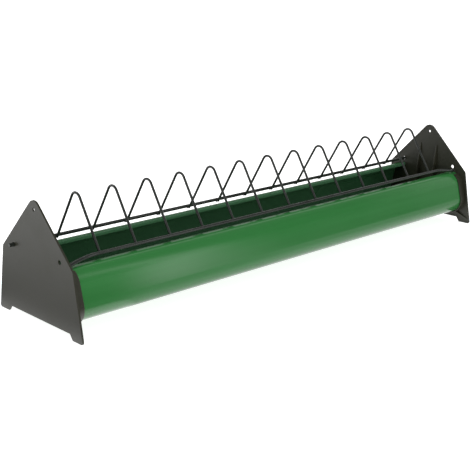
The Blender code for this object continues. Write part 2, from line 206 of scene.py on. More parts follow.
class StageSettings(bpy.types.PropertyGroup):
    """Floor, light and camera."""
    floor_size: length("Floor size", "Across the floor", 40.0)
    floor_lift: share("Floor lift", "White that is added to the floor where it is seen", 0.86)
    floor_shine: share("Floor shine", "Brightness of the floor, in reflections", 0.78)
    floor_edge: share("Floor edge", "What is added to it close beside the trough", 0.48)
    floor_corner: share("Floor corner", "Its brightness before the left end", 0.25)
    floor_glow: bright("Floor glow", "Its brightness close by the left end", 1.85)
    floor_left: share("Floor left", "Its brightness just beyond the left end", 0.58)
    floor_beyond: bright("Floor beyond", "Its brightness farther out beyond the left end", 1.70)
    sky: share("Sky", "Light that falls on everything from all round", 0.50)
    overhead_power: power("Overhead power", "Of the soft light overhead", 25)
    front_power: power("Front power", "Of the low soft light in front", 31)
    overhead: share("Overhead", "Brightness overhead, in reflections", 0.14)
    front_shade: share("Front shade", "How much dimmer it is in front, in reflections", 0.80)
    strip: share("Strip", "Of the strip of light behind, in reflections", 0.85)
    strip_height: angle("Strip height", "Of the strip above the level, seen along the trough", 57.5)
    bar: bright("Bar", "Of the leaning bar of light in front, in reflections", 2.3)
    bar_foot: direction("Bar foot", "Where the bar's lower end is", (0.607, -0.791, 0.070))
    bar_head: direction("Bar head", "Where its upper end is", (0.567, -0.585, 0.580))
    patch: bright("Patch", "Of the small patch beside the bar's foot, in reflections", 0.8)
    patch_way: direction("Patch direction", "Where the patch is", (0.645, -0.763, 0.032))
    haze: share("Haze", "Of the wide haze left of the bar's head, in reflections", 0.22)
    haze_way: direction("Haze direction", "Where the haze is", (0.300, -0.600, 0.740))
    right_end: share("Right end", "Brightness beyond the right end, in reflections", 0.70)
    lens: number("Lens", "Focal length in millimetres", 75.19, unit="CAMERA")
    camera_place: triple("Camera place", "Where it stands", (-0.9451, -0.9298, 0.4196), unit="LENGTH")
    camera_turn: triple("Camera turn", "How it is turned", (1.2885, -0.0051, -0.7579), subtype="EULER")


# Drawing and shaping

def deselect():
    if bpy.context.object and bpy.context.object.mode == "EDIT":
        leave_edit()
    bpy.ops.object.select_all(action="DESELECT")


def take(piece):
    """Selects a piece and nothing else, and makes it the active one."""
    deselect()
    piece.select_set(True)
    bpy.context.view_layer.objects.active = piece


def edit():
    bpy.ops.object.mode_set(mode="EDIT")


def leave_edit():
    bpy.ops.object.mode_set(mode="OBJECT")


def take_all():
    """Selects all of the mesh in edit mode."""
    bpy.ops.mesh.select_all(action="SELECT")


def face_outwards():
    """Points all faces of the mesh in edit mode outwards."""
    take_all()
    bpy.ops.mesh.normals_make_consistent(inside=False)


def named(name):
    """Names what was just added."""
    piece = bpy.context.object
    piece.name = name
    piece.data.name = name
    return piece


def start_point(name, place):
    """A new mesh of a single point, left in edit mode. Its origin is the frame's own."""
    deselect()
    bpy.ops.mesh.primitive_plane_add(size=WELD_DISTANCE)
    piece = named(name)
    edit()
    bpy.ops.mesh.select_mode(type="VERT")
    take_all()
    bpy.ops.mesh.merge(type="CENTER")
    bpy.ops.transform.translate(value=place)
    return piece


def extrude_by(move):
    if move.length > WELD_DISTANCE:
        bpy.ops.mesh.extrude_region_move(TRANSFORM_OT_translate={"value": move})


def draw_out(reach):
    """Draws all of the mesh in edit mode out along the trough."""
    take_all()
    extrude_by(ACROSS * reach)
    face_outwards()


def spin(centre, turn):
    """Sweeps what is selected round a centre, about an axis along the trough."""
    steps = max(2, math.ceil(abs(turn) / ARC_STEP))
    bpy.ops.mesh.spin(steps=steps, angle=-turn, center=centre, axis=ACROSS)


def draw(name, x, corners):
    """Draws half a profile through (y, z, radius) corners and mirrors it. Its normals are still to be set."""
    places = [Vector((x, y, z)) for y, z, _ in corners]
    piece = start_point(name, places[0])
    pen = places[0]
    for i, place in enumerate(places[1:], start=1):
        radius = corners[i][2]
        if radius:
            before = (place - places[i - 1]).normalized()
            after = (places[i + 1] - place).normalized()
            turn = before.angle(after) * math.copysign(1, before.cross(after).x)
            setback = radius * math.tan(abs(turn) / 2)
            start = place - before * setback
            extrude_by(start - pen)
            inward = ACROSS.cross(before) * math.copysign(1, turn)
            spin(start + inward * radius, turn)
            pen = place + after * setback
        else:
            extrude_by(place - pen)
            pen = place
    leave_edit()
    modify(piece, "MIRROR", use_axis=(False, True, False), use_mirror_merge=True,
           merge_threshold=WELD_DISTANCE)
    return piece


def pick(kind, test):
    """Selects the edit mesh's verts, edges or faces that pass a test, and nothing else."""
    mesh = bpy.context.object.data
    shape = bmesh.from_edit_mesh(mesh)
    bpy.ops.mesh.select_all(action="DESELECT")
    modes = {"verts": "VERT", "edges": "EDGE", "faces": "FACE"}
    bpy.ops.mesh.select_mode(type=modes[kind])
    for item in getattr(shape, kind):
        if test(item):
            item.select_set(True)
    shape.select_flush_mode()
    bmesh.update_edit_mesh(mesh)


def at_x(item, x):
    return all(abs(vert.co.x - x) < WELD_DISTANCE for vert in item.verts)


def modify(piece, kind, **values):
    """Adds a modifier and applies it."""
    take(piece)
    modifier = piece.modifiers.new(kind.lower(), kind)
    for key, value in values.items():
        setattr(modifier, key, value)
    bpy.ops.object.modifier_apply(modifier=modifier.name)


def combine(piece, operation, tool):
    """Joins another solid to a piece, or cuts it away, and removes it."""
    modify(piece, "BOOLEAN", operation=operation, solver="EXACT", object=tool)
    bpy.data.objects.remove(tool, do_unlink=True)


def soften(piece, width, segments, limit=40):
    """Rounds the edges where faces meet at more than a limit in degrees."""
    modify(piece, "BEVEL", width=width, segments=segments, limit_method="ANGLE",
           angle_limit=math.radians(limit), miter_outer="MITER_ARC", use_clamp_overlap=True)


def clean(piece):
    """Merges points that lie close together, drops slivers and points the faces outwards."""
    take(piece)
    edit()
    take_all()
    bpy.ops.mesh.remove_doubles(threshold=WELD_DISTANCE)
    bpy.ops.mesh.dissolve_degenerate(threshold=WELD_DISTANCE)
    face_outwards()
    leave_edit()


def shade(piece):
    take(piece)
    bpy.ops.object.shade_smooth_by_angle(angle=SMOOTH_ANGLE)
    modify(piece, "WEIGHTED_NORMAL", keep_sharp=True, weight=100)


def hand_over(piece, body, node):
    """Gives a finished piece the body it moves with, and hides the node it stands for."""
    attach(piece, body)
    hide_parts(node)


def copied(piece, name):
    """A copy with a mesh of its own, left selected."""
    take(piece)
    bpy.ops.object.duplicate()
    return named(name)


def settle(piece):
    """Puts a piece's place, turn and scale into its mesh."""
    take(piece)
    bpy.ops.object.transform_apply(location=True, rotation=True, scale=True)


# Materials

def node(tree, kind, links=(), **values):
    """Adds a shader node. Links are (input, output socket) pairs, and values set inputs or settings."""
    made = tree.nodes.new(kind)
    for key, value in values.items():
        title = key.replace("_", " ").title()
        if title in made.inputs:
            made.inputs[title].default_value = value
        else:
            setattr(made, key, value)
    for key, socket in links:
        tree.links.new(socket, made.inputs[key])
    return made


def plain_material(name, roughness):
    material = bpy.data.materials.new(name)
    material.use_nodes = True
    tree = material.node_tree
    shader = tree.nodes["Principled BSDF"]
    shader.inputs["Roughness"].default_value = roughness
    shader.inputs["IOR"].default_value = 1.5
    places = tree.nodes.new("ShaderNodeTexCoord").outputs["Object"]
    return material, tree, shader, places


def grain(tree, places, scale, detail=2.0, stretch=(1, 1, 1)):
    """Noise of so many features a metre, drawn out where stretch is under 1."""
    mapping = node(tree, "ShaderNodeMapping", [("Vector", places)], scale=stretch)
    noise = node(tree, "ShaderNodeTexNoise", [("Vector", mapping.outputs["Vector"])],
                 scale=scale, detail=detail)
    return noise.outputs["Fac"]


def mapped(tree, value, start, end, low, high, easing):
    """Maps a value from a range onto another."""
    return node(tree, "ShaderNodeMapRange", [("Value", value)], interpolation_type=easing,
                from_min=start, from_max=end, to_min=low, to_max=high).outputs["Result"]


def spread(tree, value, low, high):
    """Maps noise, which lies around a half, onto a range."""
    return mapped(tree, value, 0.3, 0.7, low, high, "LINEAR")


def two_tone(tree, value, first, second):
    """Blends two colours, on the colour sockets of a mix node."""
    mix = node(tree, "ShaderNodeMix", [(0, value)], data_type="RGBA")
    mix.inputs[6].default_value = (*first, 1)
    mix.inputs[7].default_value = (*second, 1)
    return mix.outputs[2]


def mottled(tree, noise, first, second):
    return two_tone(tree, spread(tree, noise, 0, 1), first, second)


def link_finish(tree, shader, tone, gloss, normal):
    """Links a shader's colour, roughness and normal."""
    for title, socket in (("Base Color", tone), ("Roughness", gloss), ("Normal", normal)):
        tree.links.new(socket, shader.inputs[title])


def bump(tree, height, depth, strength, under=None):
    made = node(tree, "ShaderNodeBump", [("Height", height)], strength=strength, distance=depth)
    if under:
        tree.links.new(under, made.inputs["Normal"])
    return made.outputs["Normal"]


def extruded(name, first, second, roughness):
    """Extruded plastic: streaks, gloss and fine lines all run along the trough."""
    material, tree, shader, places = plain_material(name, roughness)
    streaks = grain(tree, places, 60, 3, (0.03, 1, 1))
    clouds = grain(tree, places, 9, 2, (0.5, 1, 1))
    lines = grain(tree, places, 900, 2, (0.004, 1, 1))
    speckle = grain(tree, places, 1600, 2)
    gloss = spread(tree, clouds, roughness - 0.04, roughness + 0.05)
    normal = bump(tree, speckle, 0.00001, 0.4, bump(tree, lines, 0.00003, 0.5))
    link_finish(tree, shader, mottled(tree, streaks, first, second), gloss, normal)
    return material


def green_plastic(finish):
    return extruded("green_plastic", finish.green, finish.green_pale, finish.green_gloss)


# A paler, greyer green than the outside: painted sheen on the trough's inner face.
def inner_green(finish):
    return extruded("inner_green", finish.inside, finish.inside_pale, finish.inside_gloss)


def black_plastic(finish):
    """Moulded plastic: a fine even grain, and a faint mottle where it cooled."""
    material, tree, shader, places = plain_material("black_plastic", finish.black_gloss)
    mottle = grain(tree, places, 28, 3)
    texture = grain(tree, places, 2600, 3)
    tone = mottled(tree, mottle, finish.black, finish.black_pale)
    gloss = spread(tree, mottle, finish.black_gloss - 0.04, finish.black_gloss + 0.04)
    link_finish(tree, shader, tone, gloss, bump(tree, texture, 0.00004, 0.6))
    return material


def wire_coating(finish):
    """A smooth dipped coating with a faint orange peel."""
    material, tree, shader, places = plain_material("wire_coating", finish.coating_gloss)
    peel = grain(tree, places, 620, 2)
    patches = grain(tree, places, 40, 2)
    thin = [channel * 1.5 for channel in finish.coating]
    tone = mottled(tree, patches, finish.coating, thin)
    gloss = spread(tree, patches, finish.coating_gloss - 0.05, finish.coating_gloss + 0.06)
    link_finish(tree, shader, tone, gloss, bump(tree, peel, 0.00008, 0.5))
    return material


def cover(piece, *makers):
    """Gives a piece its materials, each made the first time it is asked for."""
    for maker in makers:
        material = bpy.data.materials.get(maker.__name__)
        piece.data.materials.append(material or maker(bpy.context.scene.feeder_finish))


# The trough

def trough_corners(sizes):
    """Corners of the section's +Y half: floor, heel, shoulder, mouth edge and hem."""
    half = sizes.width / 2
    ground = TROUGH_LOW.z
    heel = half + sizes.heel_radius * (math.tan((math.pi / 2 + sizes.side_lean) / 2) - 1)
    edge = sizes.mouth_width / 2
    lean = math.tan(sizes.side_lean)
    fall = math.tan(sizes.lip_slope)
    rise = (sizes.lip_height - ground - (heel - edge) * fall) / (1 - lean * fall)
    shoulder = (heel - rise * lean, ground + rise)
    return [(0, ground), (heel, ground), shoulder, (edge, sizes.lip_height),
            (edge, sizes.lip_height - sizes.hem_drop)]


def trough_path(sizes):
    """The half section with its radii. Its side bows out a little between the two roundings."""
    floor, heel, shoulder, edge, hem = [Vector(corner) for corner in trough_corners(sizes)]
    along_lip = (edge - shoulder).normalized()
    up_side = (shoulder - heel).normalized()
    lower = Matrix.Rotation(-sizes.side_bow, 2) @ up_side
    upper = Matrix.Rotation(sizes.side_bow, 2) @ up_side
    heel_turn = math.pi / 2 + sizes.side_lean
    heel_reach = sizes.heel_radius * math.tan((heel_turn - sizes.side_bow) / 2)
    heel.x += heel_reach - sizes.heel_radius * math.tan(heel_turn / 2)
    lip_turn = up_side.angle(along_lip)
    lip_reach = sizes.shoulder_radius * math.tan((lip_turn - sizes.side_bow) / 2)
    shoulder += along_lip * (sizes.shoulder_radius * math.tan(lip_turn / 2) - lip_reach)
    middle = heel + lower * (shoulder - heel).cross(upper) / lower.cross(upper)
    room = min((middle - heel).length - heel_reach, (shoulder - middle).length - lip_reach)
    return [
        (*floor, 0),
        (*heel, sizes.heel_radius),
        (*middle, NEARLY_ALL * room / math.tan(sizes.side_bow)),
        (*shoulder, sizes.shoulder_radius),
        (*edge, sizes.hem_radius),
        (*hem, 0),
    ]


def draw_along(piece, reach):
    """Draws a profile out along the trough into a skin whose faces point away from the feed."""
    edit()
    draw_out(reach)
    leave_edit()
    lowest = min(piece.data.polygons, key=lambda face: face.center.z)
    if lowest.normal.z > 0:
        piece.data.flip_normals()


def add_groove(piece, sizes):
    """Presses a fine groove into each lip, along the edges that lie nearest its place."""
    place = sizes.mouth_width / 2 + sizes.groove_place
    below_lips = sizes.lip_height * 0.9
    points = [vert.co for vert in piece.data.vertices]
    tops = [edge for edge in piece.data.edges if all(points[i].z > below_lips for i in edge.vertices)]
    nearest = min(abs(abs(points[edge.vertices[0]].y) - place) for edge in tops) + WELD_DISTANCE

    def in_place(edge):
        first, second = (vert.co for vert in edge.verts)
        near = abs(abs(first.y) - place) < nearest and abs(abs(second.y) - place) < nearest
        return near and first.z > below_lips
    edit()
    pick("edges", in_place)
    bpy.ops.mesh.bevel(offset=sizes.groove_width, segments=4, profile=0.5)
    pick("verts", lambda vert: abs(abs(vert.co.y) - place) < sizes.groove_width * 0.3 + nearest
         and vert.co.z > below_lips)
    bpy.ops.transform.translate(value=(0, 0, -sizes.groove_depth))
    leave_edit()


def film_on_hems(piece, sizes):
    """The hems, where the lips turn down, take the inner face's paler green too: a painted reflection,
    standing in for the pale line that the lips' edges reflect.
    """
    hem_y = (sizes.mouth_width + sizes.hem_radius) / 2
    edit()
    pick("faces", lambda face: face.calc_center_median().z > sizes.lip_height / 2
         and abs(face.calc_center_median().y) < hem_y)
    piece.active_material_index = 1
    bpy.ops.object.material_slot_assign()
    leave_edit()


class FEEDER_OT_trough(bpy.types.Operator):
    """Adds the extruded channel that holds the feed"""
    bl_idname = "feeder.trough"
    bl_label = "Trough"

    def execute(self, context):
        sizes = context.scene.feeder_trough
        piece = draw("trough_shell", TROUGH_LOW.x, trough_path(sizes))
        draw_along(piece, TROUGH_HIGH.x - TROUGH_LOW.x)
        add_groove(piece, sizes)
        edit()
        pick("edges", lambda edge: abs(edge.verts[0].co.x - edge.verts[1].co.x) > sizes.width)
        cuts = round((TROUGH_HIGH.x - TROUGH_LOW.x) / sizes.wave_length) * CUTS_IN_A_WAVE
        bpy.ops.mesh.subdivide(number_cuts=cuts)
        leave_edit()
        swell = bpy.data.textures.new("swell", "CLOUDS")
        swell.noise_scale = sizes.wave_length
        swell.noise_depth = 1
        modify(piece, "DISPLACE", texture=swell, strength=sizes.wave, mid_level=0.5,
               texture_coords="LOCAL")
        # The inner face's material paints sheen onto it as a paler, greyer green.
        cover(piece, green_plastic, inner_green)
        # The hems take the inner face's paler green, a painted reflection.
        film_on_hems(piece, sizes)
        modify(piece, "SOLIDIFY", thickness=sizes.wall, offset=-1, use_even_offset=True, material_offset=1)
        soften(piece, sizes.end_round, 3, 60)
        shade(piece)
        hand_over(piece, "feeder_base", "trough")
        return {"FINISHED"}


# The end plates

PIN_MARKS = ((-0.030, 0.055), (0.030, 0.055), (0, 0.040), (-0.026, 0.098), (0.026, 0.098))


def plate_path(sizes, trough):
    """The plate's outline from the middle of its lower edge round a foot to the top."""
    foot = trough.width / 2 + sizes.foot_spread
    inner = foot - sizes.foot_width
    shoulder = trough.width / 2 - sizes.shoulder_inset
    apex = sizes.apex_round * math.tan(math.pi / 8)
    return [
        (0, sizes.foot_height, 0),
        (inner - sizes.foot_step, sizes.foot_height, sizes.foot_edge_round),
        (inner, 0, sizes.foot_edge_round),
        (foot, 0, sizes.foot_round),
        (shoulder, trough.lip_height + sizes.shoulder_rise, sizes.shoulder_round),
        (apex, PLATE_HIGH.z, sizes.apex_round),
        (0, PLATE_HIGH.z, 0),
    ]


def moved_in(corners, distance):
    """A half outline, moved to the left of its path all along."""
    moved = []
    for i, (y, z, radius) in enumerate(corners):
        here = Vector((y, z))
        before = here - Vector(corners[i - 1][:2]) if i else None
        after = Vector(corners[i + 1][:2]) - here if i + 1 < len(corners) else None
        before = (before or after).normalized()
        after = (after or before).normalized()
        left = before.orthogonal() + after.orthogonal()
        place = here + left * distance / (1 + before.dot(after))
        inner = radius - math.copysign(distance, before.cross(after))
        moved.append((*place, max(inner, 0) if radius else 0))
    return moved


def slab(name, path, x, reach):
    """A half outline completed and drawn out along the trough, left in edit mode."""
    piece = draw(name, x, path)
    edit()
    take_all()
    bpy.ops.mesh.edge_face_add()
    draw_out(reach)
    return piece


def plate_blank(sizes, trough):
    """The flat of the plate with its rim and rounded edges."""
    outer = PLATE_HIGH.x
    path = plate_path(sizes, trough)
    piece = slab("plate_blank", path, outer, -sizes.thickness)
    pick("edges", lambda edge: at_x(edge, outer))
    bpy.ops.mesh.bevel(offset=sizes.edge_round, segments=4)
    leave_edit()
    inner = moved_in(path, sizes.rim_width)
    recess = slab("recess", inner, outer - sizes.thickness - sizes.rim_rise, 2 * sizes.rim_rise)
    leave_edit()
    combine(piece, "DIFFERENCE", recess)
    soften(piece, sizes.recess_round, 2)
    return piece


def collar_solid(sizes, trough, web):
    """The collar round the outside of the trough's end."""
    floor, heel, shoulder, edge, _ = [Vector(corner) for corner in trough_corners(trough)]
    up_side = (shoulder - heel).normalized()
    along_lip = (edge - shoulder).normalized()
    whole = up_side.angle(along_lip)
    arc_start = shoulder - up_side * trough.shoulder_radius * math.tan(whole / 2)
    reach = trough.shoulder_radius * math.tan(sizes.collar_cover / 2)
    corner = arc_start + up_side * reach
    end = corner + Matrix.Rotation(sizes.collar_cover, 2) @ up_side * reach
    path = [(*floor, 0), (*heel, trough.heel_radius), (*corner, trough.shoulder_radius), (*end, 0)]
    piece = draw("collar", web + sizes.rim_rise, path)
    draw_along(piece, -(sizes.collar_depth + sizes.rim_rise))
    edit()
    take_all()
    bpy.ops.transform.shrink_fatten(value=SEAT_GAP, use_even_offset=True)
    leave_edit()
    modify(piece, "SOLIDIFY", thickness=sizes.collar_wall, offset=1, use_even_offset=True)
    soften(piece, sizes.rib_round, 3, 60)
    return piece


def block(name, low, high):
    """A box between two corners, left in edit mode with all of it selected."""
    deselect()
    bpy.ops.mesh.primitive_cube_add(size=1, location=(low + high) / 2)
    piece = named(name)
    piece.scale = high - low
    settle(piece)
    edit()
    return piece


def upright_rib(sizes, trough, web, side):
    """A rib up the inner face, deep inside the trough and tapering to a tip above it."""
    middle = side * sizes.rib_spread / 2
    half = sizes.rib_thickness / 2
    floor = TROUGH_LOW.z + trough.wall + SEAT_GAP
    low = Vector((web - sizes.rib_depth, middle - half, floor))
    high = Vector((web + sizes.rim_rise, middle + half, trough.lip_height + sizes.rib_reach))
    tip = web - 2 * sizes.rim_rise
    piece = block("rib", low, high)
    bpy.ops.mesh.bisect(plane_co=(0, 0, trough.lip_height), plane_no=(0, 0, 1))
    pick("verts", lambda vert: vert.co.z > high.z - half and vert.co.x < web)
    bpy.ops.transform.translate(value=(tip - low.x, 0, 0))
    for x in (low.x, tip):
        pick("verts", lambda vert: abs(vert.co.x - x) < WELD_DISTANCE)
        narrowed = 1 - math.tan(sizes.rib_draft) * (high.x - x) / half
        bpy.ops.transform.resize(value=(1, narrowed, 1), center_override=(0, middle, 0))
    leave_edit()
    soften(piece, sizes.rib_round, 3)
    return piece


def foot_rib(sizes, trough, web, side):
    """The slanting rib from the collar to a foot, which runs out as it nears the foot."""
    heel = Vector((trough.width / 2 - trough.heel_radius, TROUGH_LOW.z + trough.heel_radius))
    reach = trough.heel_radius + SEAT_GAP + sizes.collar_wall / 2
    start = heel + Vector((math.cos(sizes.foot_rib_start), -math.sin(sizes.foot_rib_start))) * reach
    end = Vector((trough.width / 2 + sizes.foot_spread - sizes.rim_width, sizes.foot_rib_rise))
    along = end - start
    half = sizes.rib_thickness / 2
    low = Vector((web - sizes.foot_rib_depth, 0, -half))
    high = Vector((web + sizes.rim_rise, along.length, half))
    piece = block("foot_rib", low, high)
    pick("verts", lambda vert: vert.co.x < web and vert.co.y > along.length / 2)
    bpy.ops.transform.translate(value=(sizes.foot_rib_depth - sizes.rim_rise, 0, 0))
    back = (heel - start).dot(along) / along.length
    aside = along.cross(heel - start) / along.length
    for across in (-half, half):
        onto_ring = back + math.sqrt(reach ** 2 - (across - aside) ** 2)
        pick("verts", lambda vert: vert.co.y < half and vert.co.z * side * across > 0)
        bpy.ops.transform.translate(value=(0, onto_ring, 0))
    leave_edit()
    soften(piece, sizes.foot_rib_round, 2)
    slant = math.atan2(along.y, along.x)
    piece.rotation_euler = (slant if side > 0 else math.pi - slant, 0, 0)
    piece.location = (0, side * start.x, start.y)
    settle(piece)
    return piece


def round_bar(name, sides, radius, low, high, y, z):
    """A round bar along the trough, or a cutter."""
    deselect()
    bpy.ops.mesh.primitive_cylinder_add(vertices=sides, radius=radius, depth=high - low,
                                        location=((low + high) / 2, y, z), rotation=(0, math.pi / 2, 0))
    piece = named(name)
    settle(piece)
    return piece


def add_holes(piece, sizes, trough):
    """Drills the three holes and rounds their mouths."""
    side = trough.mouth_width / 2 + sizes.hole_outset
    rise = trough.lip_height + sizes.hole_rise
    holes = [
        (sizes.hole_radius, -side, rise),
        (sizes.hole_radius, side, rise),
        (sizes.hang_hole_radius, 0, sizes.hang_hole_height),
    ]
    outer = PLATE_HIGH.x
    past = 2 * sizes.thickness
    for radius, y, z in holes:
        tool = round_bar("hole", HOLE_SIDES, radius, outer - past, outer + past, y, z)
        combine(piece, "DIFFERENCE", tool)
    clean(piece)
    edit()

    def round_a_hole(edge):
        middle = (edge.verts[0].co + edge.verts[1].co) / 2
        near = any(math.hypot(middle.y - y, middle.z - z) < radius * 1.02 for radius, y, z in holes)
        return near and at_x(edge, middle.x)
    pick("edges", round_a_hole)
    bpy.ops.mesh.bevel(offset=sizes.hole_edge_round, segments=3)
    leave_edit()


def add_pin_marks(piece, sizes, web):
    """Presses the ejector pins' shallow discs into the inner face."""
    low = web - 2 * sizes.rim_rise
    high = web + sizes.pin_mark_depth
    for y, z in PIN_MARKS:
        tool = round_bar("pin_mark", HOLE_SIDES, sizes.pin_mark_radius, low, high, y, z)
        combine(piece, "DIFFERENCE", tool)


class FEEDER_OT_end_plates(bpy.types.Operator):
    """Adds the two end plates, which are one moulding turned half round"""
    bl_idname = "feeder.end_plates"
    bl_label = "End plates"

    def execute(self, context):
        sizes = context.scene.feeder_plate
        trough = context.scene.feeder_trough
        web = PLATE_HIGH.x - sizes.thickness + sizes.rim_rise
        right = plate_blank(sizes, trough)
        add_pin_marks(right, sizes, web)
        combine(right, "UNION", collar_solid(sizes, trough, web))
        for side in (-1, 1):
            combine(right, "UNION", upright_rib(sizes, trough, web, side))
            combine(right, "UNION", foot_rib(sizes, trough, web, side))
        add_holes(right, sizes, trough)
        right.name = "right_plate_shell"
        cover(right, black_plastic)
        left = copied(right, "left_plate_shell")
        left.rotation_euler.z = math.pi
        settle(left)
        for piece, plate in ((right, "right_end_plate"), (left, "left_end_plate")):
            shade(piece)
            hand_over(piece, "feeder_base", plate)
        return {"FINISHED"}


# The grille

def leg_offset(sizes):
    """Level distance from a rod's middle to the leg welded to it."""
    return (sizes.rod_radius + sizes.wire_radius + sizes.weld_gap) / math.sin(sizes.leg_angle)


def leg_place(sizes, height):
    """Distance from the middle to an arch's leg at a height."""
    return HINGE.y - leg_offset(sizes) - (height - HINGE.z) / math.tan(sizes.leg_angle)


def round_ends(piece, sizes):
    """Rounds the rims of a wire's two cut ends, which are its only faces of many sides."""
    take(piece)
    edit()
    pick("faces", lambda face: len(face.verts) > 4)
    bpy.ops.mesh.bevel(offset=sizes.end_round, segments=3)
    leave_edit()


def weld(sizes, x, side):
    """A weld's bead between a rod and the leg on its inner side."""
    lean = sizes.leg_angle
    inward = Vector((0, -side * math.sin(lean), -math.cos(lean)))
    middle = Vector((x, side * HINGE.y, HINGE.z)) + inward * (sizes.rod_radius + sizes.weld_gap / 2)
    deselect()
    bpy.ops.mesh.primitive_uv_sphere_add(segments=20, ring_count=12, radius=1, location=middle,
                                         rotation=(side * (math.pi / 2 - lean), 0, 0))
    bead = named("weld")
    bead.scale = (sizes.weld_reach, sizes.weld_height, sizes.weld_reach)
    settle(bead)
    return bead


def arch(sizes, name, x):
    """One arch: a leg, the bend over the top and the other leg, with its two welds."""
    lean = sizes.leg_angle
    end_z = HINGE.z - sizes.leg_overrun * math.sin(lean)
    front, back = (Vector((x, way * leg_place(sizes, end_z), end_z)) for way in (-1, 1))
    crown = HINGE.z + leg_place(sizes, HINGE.z) * math.tan(lean)
    centre = Vector((x, 0, crown - sizes.bend_radius / math.cos(lean)))
    bend_start, bend_end = (centre + Vector((0, way * math.sin(lean), math.cos(lean))) * sizes.bend_radius
                            for way in (-1, 1))
    deselect()
    bpy.ops.mesh.primitive_circle_add(vertices=WIRE_SIDES, radius=sizes.wire_radius, fill_type="NGON",
                                      rotation=(lean - math.pi / 2, 0, 0))
    piece = named(name)
    piece.location = front
    settle(piece)
    edit()
    take_all()
    extrude_by(bend_start - front)
    spin(centre, -2 * lean)
    extrude_by(back - bend_end)
    face_outwards()
    leave_edit()
    round_ends(piece, sizes)
    for side in (1, -1):
        combine(piece, "UNION", weld(sizes, x, side))
    return piece


class FEEDER_OT_arches(bpy.types.Operator):
    """Adds the arches of bent wire, with the welds that hold them to the rods"""
    bl_idname = "feeder.arches"
    bl_label = "Arches"

    def execute(self, context):
        sizes = context.scene.feeder_grille
        model = arch(sizes, "arch_model", 0)
        cover(model, wire_coating)
        shade(model)
        for name in ARCH_NAMES:
            low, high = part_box(name)
            piece = copied(model, name + "_wire")
            piece.location.x = (low.x + high.x) / 2
            settle(piece)
            hand_over(piece, "grille", name)
        bpy.data.objects.remove(model, do_unlink=True)
        return {"FINISHED"}


def straight_rod(sizes):
    """The back rod, the hinge's pin."""
    low, high = BACK_ROD_LOW.x, BACK_ROD_HIGH.x
    piece = round_bar("back_rod_wire", ROD_SIDES, sizes.rod_radius, low, high, HINGE.y, HINGE.z)
    round_ends(piece, sizes)
    return piece


def cranked_rod(sizes, plate):
    """The front rod, whose ends bend out and down onto the lip."""
    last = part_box(ARCH_NAMES[-1])
    start_x = (last[0].x + last[1].x) / 2 + sizes.crank_setoff
    end_x = PLATE_HIGH.x - plate.thickness - sizes.rod_end_gap
    third = ACROSS * (end_x - start_x) / 3
    end_z = FRONT_ROD_LOW.z + sizes.rod_radius
    slant = Vector((0, sizes.crank_out, HINGE.z - end_z)) * 2 / 3
    deselect()
    bpy.ops.curve.primitive_bezier_curve_add()
    piece = named("front_rod_wire")
    spline = piece.data.splines[0]
    spline.bezier_points.add(2)
    ends = [Vector((way * end_x, -HINGE.y - sizes.crank_out, end_z)) for way in (-1, 1)]
    starts = [Vector((way * start_x, -HINGE.y, HINGE.z)) for way in (-1, 1)]
    knots = [(ends[0], third + slant), (starts[0], third), (starts[1], third), (ends[1], third - slant)]
    for point, (place, handle) in zip(spline.bezier_points, knots):
        point.handle_left_type = point.handle_right_type = "FREE"
        point.co = place
        point.handle_left = place - handle
        point.handle_right = place + handle
    spline.resolution_u = 24
    piece.data.bevel_depth = sizes.rod_radius
    piece.data.bevel_resolution = 6
    piece.data.use_fill_caps = True
    bpy.ops.object.convert(target="MESH")
    clean(piece)
    round_ends(piece, sizes)
    return piece


class FEEDER_OT_rods(bpy.types.Operator):
    """Adds the straight back rod and the cranked front rod"""
    bl_idname = "feeder.rods"
    bl_label = "Rods"

    def execute(self, context):
        sizes = context.scene.feeder_grille
        back = straight_rod(sizes)
        front = cranked_rod(sizes, context.scene.feeder_plate)
        for piece, name in ((back, "back_rod"), (front, "front_rod")):
            cover(piece, wire_coating)
            shade(piece)
            hand_over(piece, "grille", name)
        return {"FINISHED"}


# The stage

def gathered(tree, operation, values):
    """Takes values one after another into a row of math nodes."""
    result = values[0]
    for value in values[1:]:
        result = node(tree, "ShaderNodeMath", [(0, result), (1, value)], operation=operation).outputs[0]
    return result


def either(tree, *values):
    """The highest of some values."""
    return gathered(tree, "MAXIMUM", values)


def times(tree, value, factor):
    made = node(tree, "ShaderNodeMath", [(0, value)], operation="MULTIPLY")
    made.inputs[1].default_value = factor
    return made.outputs[0]


def total(tree, *values):
    return gathered(tree, "ADD", values)


def ramp(tree, value, start, end, low, high):
    """Maps a value from a range onto another, easing at both ends."""
    return mapped(tree, value, start, end, low, high, "SMOOTHSTEP")


def towards(tree, way, goal):
    """How far a way or a place lies along a direction."""
    made = node(tree, "ShaderNodeVectorMath", [(0, way)], operation="DOT_PRODUCT")
    made.inputs[1].default_value = Vector(goal).normalized()
    return made.outputs["Value"]


def product(tree, *values):
    return gathered(tree, "MULTIPLY", values)


def seen_directly(tree, ray):
    return either(tree, ray["Is Camera Ray"], ray["Is Transmission Ray"])


def aside(tree, way, goal):
    """How far a way or a place lies to either side along a direction."""
    return node(tree, "ShaderNodeMath", [(0, towards(tree, way, goal))], operation="ABSOLUTE").outputs[0]


